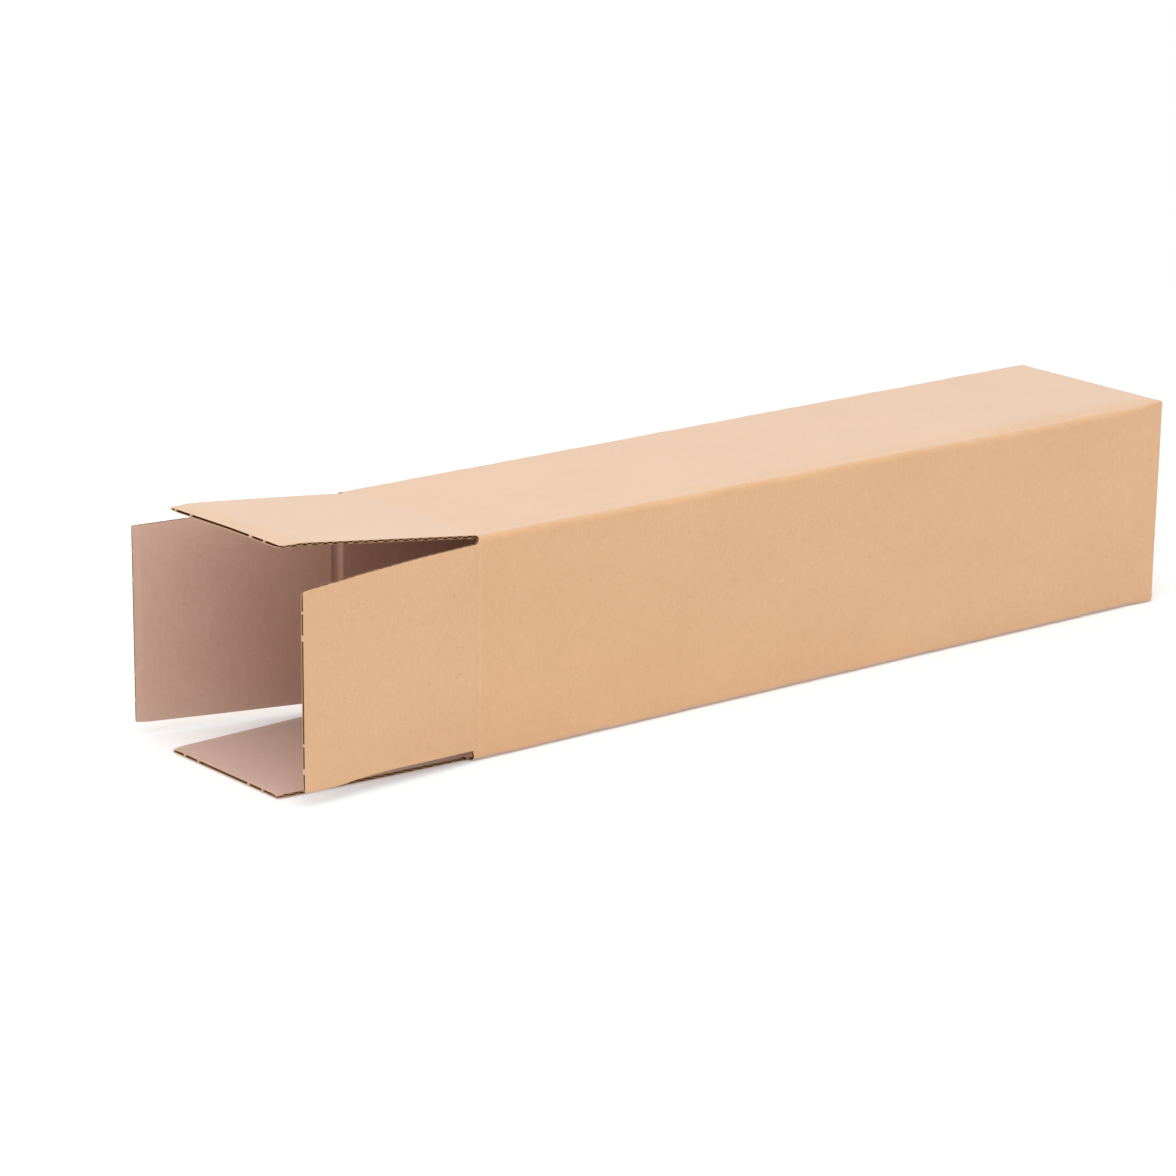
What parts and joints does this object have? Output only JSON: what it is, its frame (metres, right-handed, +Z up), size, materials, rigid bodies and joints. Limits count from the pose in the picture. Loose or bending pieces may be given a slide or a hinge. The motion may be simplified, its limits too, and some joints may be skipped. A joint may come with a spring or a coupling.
{
  "type": "square mailing tube",
  "caption": "Square tube of corrugated board for posting rolled sheets, with one end folded shut and hinged flaps standing open at the other.",
  "frame": {"origin": "on the underside of the tube, midway along it and midway across it", "axes": "+X along the tube from the open end to the closed end, +Z up from the side that the tube lies on, +Y to the rear panel"},
  "size_m": [0.5597, 0.1405, 0.1209],
  "materials": {
    "corrugated_board": "matt brown kraft liner"
  },
  "bodies": {
    "tube": {"tube_body": "corrugated_board"},
    "bottom_flap": {"bottom_flap": "corrugated_board"},
    "rear_flap": {"rear_flap": "corrugated_board"},
    "top_flap": {"top_flap": "corrugated_board"},
    "front_flap": {"front_flap": "corrugated_board"}
  },
  "joints": [
    {"name": "bottom_flap_crease", "type": "hinge", "parent": "tube", "child": "bottom_flap", "pos_m": [-0.2252, 0, 0], "axis": [0, 1, 0], "range_deg": [-165, 90]},
    {"name": "rear_flap_crease", "type": "hinge", "parent": "tube", "child": "rear_flap", "pos_m": [-0.2275, 0.0545, 0.0545], "axis": [0, 0, 1], "range_deg": [-153, 102]},
    {"name": "top_flap_crease", "type": "hinge", "parent": "tube", "child": "top_flap", "pos_m": [-0.2206, 0, 0.109], "axis": [0, -1, 0], "range_deg": [-158.6, 96.4]},
    {"name": "front_flap_crease", "type": "hinge", "parent": "tube", "child": "front_flap", "pos_m": [-0.2229, -0.0545, 0.0545], "axis": [0, 0, -1], "range_deg": [-160, 95]}
  ]
}
